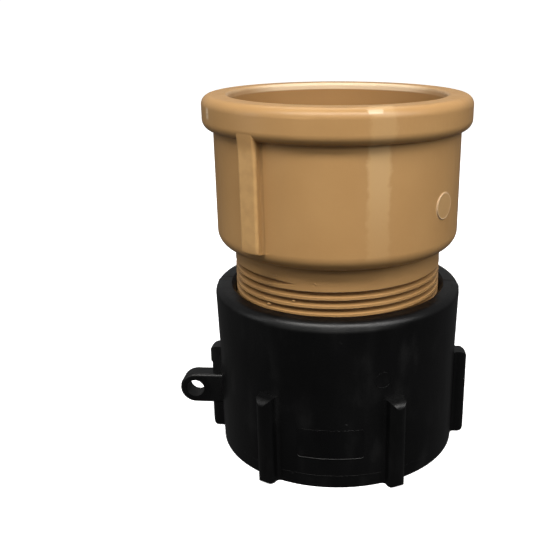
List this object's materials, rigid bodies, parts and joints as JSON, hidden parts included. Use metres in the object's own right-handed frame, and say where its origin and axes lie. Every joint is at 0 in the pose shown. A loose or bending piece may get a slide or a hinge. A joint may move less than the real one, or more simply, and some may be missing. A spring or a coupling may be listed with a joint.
{
  "type": "tank outlet adapter",
  "caption": "Screwed tank outlet adapter: black coarse-thread body with grip ribs and tether eyelet, and a tan plain pipe socket screwed into its top.",
  "frame": {"origin": "centre of the coarse thread's mouth, on the black body's bottom face", "axes": "+Z along the bore towards the pipe socket, -X through the tether eyelet, -Y through the bare panel"},
  "size_m": [0.0887, 0.075, 0.1036],
  "materials": {
    "black_plastic": "satin moulded",
    "seal_rubber": "matte",
    "tan_plastic": "soft gloss moulded"
  },
  "bodies": {
    "tank_side": {"coarse_thread_body": "black_plastic", "tank_gasket": "seal_rubber"},
    "spigot_lift": {"spigot_gasket": "seal_rubber"},
    "socket": {"pipe_socket": "tan_plastic"}
  },
  "joints": [
    {"name": "socket_rise", "type": "slide", "parent": "tank_side", "child": "spigot_lift", "axis": [0, 0, 1], "range_m": [0, 0.0191]},
    {"name": "socket_turn", "type": "hinge", "parent": "spigot_lift", "child": "socket", "pos_m": [0, 0, 0.05], "axis": [0, 0, 1], "range_deg": [0, 2970]}
  ],
  "couplings": [
    {"joint": "socket_rise", "follows": "socket_turn", "m_per_rad": 0.00036749}
  ]
}
